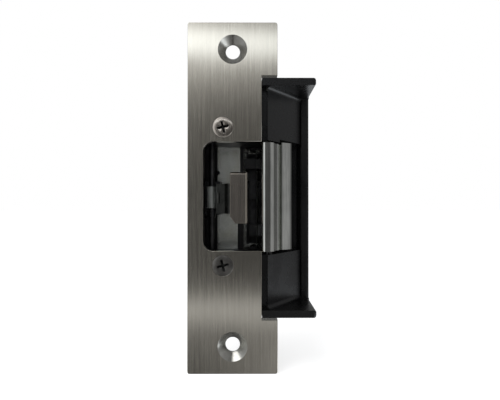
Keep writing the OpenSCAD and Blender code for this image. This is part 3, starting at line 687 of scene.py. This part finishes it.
def cross_cutter(reach, width, depth):
    """The tapered cross that a driver fits, from just above height 0 down to -depth."""
    levels = ((0.4, reach * 1.1, width * 1.05), (0, reach, width), (-depth, reach * 0.42, width * 0.5))
    bm = bmesh.new()
    rows = []
    for height, r, w in levels:
        h = w / 2
        arm = ((h, -h), (r * 0.9, -h), (r, -h * 0.6), (r, h * 0.6), (r * 0.9, h))
        ring = []
        for k in range(4):
            turn = Matrix.Rotation(math.pi / 2 * k + RECESS_TURN, 3, "Z")
            ring.extend(bm.verts.new(turn @ Vector((u, v, height))) for u, v in arm)
        rows.append(ring)
    count = len(rows[0])
    for low, high in zip(rows, rows[1:]):
        for k in range(count):
            j = (k + 1) % count
            bm.faces.new((low[k], low[j], high[j], high[k]))
    bm.faces.new(rows[0])
    bm.faces.new(rows[-1])
    # The recess's faces take the screw's second slot, its painted shade
    for face in bm.faces:
        face.material_index = 1
    return blank("cutter", bm)


def blank(name, bm):
    """An object with two empty material slots, to be cut or to cut with."""
    bmesh.ops.recalc_face_normals(bm, faces=bm.faces)
    mesh = bpy.data.meshes.new(name)
    bm.to_mesh(mesh)
    bm.free()
    for _ in range(2):
        mesh.materials.append(None)
    obj = bpy.data.objects.new(name, mesh)
    COLLECTION.objects.link(obj)
    return obj


def applied(obj):
    """obj with its modifiers made part of its mesh."""
    bpy.context.view_layer.update()
    mesh = bpy.data.meshes.new_from_object(obj.evaluated_get(bpy.context.evaluated_depsgraph_get()))
    obj.modifiers.clear()
    obj.data = mesh
    return obj


def screw_mesh(profile, recess):
    """A screw's mesh, its head's top at height 0 and its shank towards -Z.

    recess is the cross's reach, width and depth."""
    bm = bmesh.new()
    lathe(bm, profile)
    body = blank("screw", bm)
    cutter = cross_cutter(*recess)
    cut = body.modifiers.new("cut", "BOOLEAN")
    cut.operation = "DIFFERENCE"
    cut.solver = "EXACT"
    cut.object = cutter
    bevel = body.modifiers.new("round", "BEVEL")
    bevel.width = SCREW_EDGE
    bevel.segments = 2
    bevel.limit_method = "ANGLE"
    bevel.angle_limit = math.radians(SCREW_EDGE_ANGLE)
    result = applied(body).data
    for obj in (body, cutter):
        bpy.data.objects.remove(obj)
    return result


def place_screw(node, mesh, x, z):
    """The screw as a piece on the faceplate's front, looking out along -Y."""
    bm = bmesh.new()
    bm.from_mesh(mesh)
    turn = Vector((0, -1, 0)).to_track_quat("Z", "Y").to_matrix().to_4x4()
    move = Matrix.Translation(Vector((x, HEAD_TOP, z)) * MM) @ turn @ Matrix.Scale(MM, 4)
    bmesh.ops.transform(bm, matrix=move, verts=bm.verts)
    settle(solid(node + "_look", bm, FINISHES[SLOT_OF[node]], FINISHES["recess_painted_shade"]), node)


def flat_head(head, shank, length, dome):
    """Profile of a countersunk screw, from the centre of its top to the end of its shank."""
    rim, tip = 0.1, 0.3
    return [
        (0, dome), (head * 0.6, dome * 0.7), (head - 0.12, 0.01), (head - 0.03, -0.03), (head, -rim),
        (shank, shank - head - rim), (shank, tip - length), (shank - tip, -length), (0, -length),
    ]


front_screw = screw_mesh(flat_head(head=3.63, shank=1.75, length=10.2, dome=0.04), (2.15, 0.9, 1.6))
for name, z in CASE_SCREW_Z.items():
    place_screw(name, front_screw, CASE_SCREW_X, z)


# ---------------------------------------------------------------- springs
JOINTS = {joint["name"]: joint for joint in frame["joints"]}


def pivot_of(joint):
    """Where a hinge's axis meets the XY plane."""
    return Vector(JOINTS[joint]["pos_m"][:2]) / MM


KEEPER_PIVOT = pivot_of("keeper_hinge")


def twisting(node):
    """A torsion spring's copy, left fixed in place of its CAD node."""
    obj = copied(node)
    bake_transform(obj)
    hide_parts(node)


def shrinking(node):
    """A compression spring's copy, riding on its CAD node's body in its place."""
    obj = copied(node)
    settle(obj, node)
    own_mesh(obj)


twisting("trip_spring")
twisting("keeper_spring")
shrinking("plunger_spring")


# ---------------------------------------------------------------- other pieces
# How far each CAD node's edges are rounded
ROUNDED = {
    "lip_bracket": 0.4, "bracket_screws": 0.12, "keeper": 0.25, "keeper_bushings": 0.12,
    "keeper_pin": 0.2, "housing": 0.3, "cavity_strip": 0.06, "trip_paddle": 0.12, "trip_arm": 0.2,
    "trip_pin": 0.1, "monitor_switch": 0.15, "switch_button": 0.2, "switch_terminals": 0.06,
    "switch_pins": 0.1, "lock_slide": 0.15, "slide_guide": 0.12, "solenoid_frame": 0.12,
    "solenoid_bobbin": 0.1, "solenoid_core": 0.15, "solenoid_plunger": 0.15,
    "plunger_link_pin": 0.1, "solenoid_screws": 0.08, "circuit_board": 0.05,
    "board_components": 0.15, "wire_socket": 0.12, "socket_contacts": 0.1, "back_cover": 0.15,
    "cover_screws": 0.12,
}
KNUCKLE_EDGE = -7.7
GROOVE = Vector((17.0, 3.3))
GROOVE_R = 0.75
HUB_R = 5.2
TAIL_Y = 12


def rough_part_of_keeper(at):
    """Its hub, its tail and the floor of its groove."""
    near_hub = (at.xy - KEEPER_PIVOT).length < HUB_R
    return near_hub or at.y > TAIL_Y or (at.xy - GROOVE).length < GROOVE_R


OTHER = {
    "keeper": ("rough_hub", rough_part_of_keeper),
    # The knuckle, left of KNUCKLE_EDGE, takes the painted highlight finish
    "trip_arm": ("knuckle_painted_highlight", lambda at: at.x < KNUCKLE_EDGE),
}
for name, width in ROUNDED.items():
    dressed(name, width, other=OTHER.get(name))

for name, node in frame["nodes"].items():
    node.data.materials.clear()
    node.data.materials.append(FINISHES[SLOT_OF[name]])
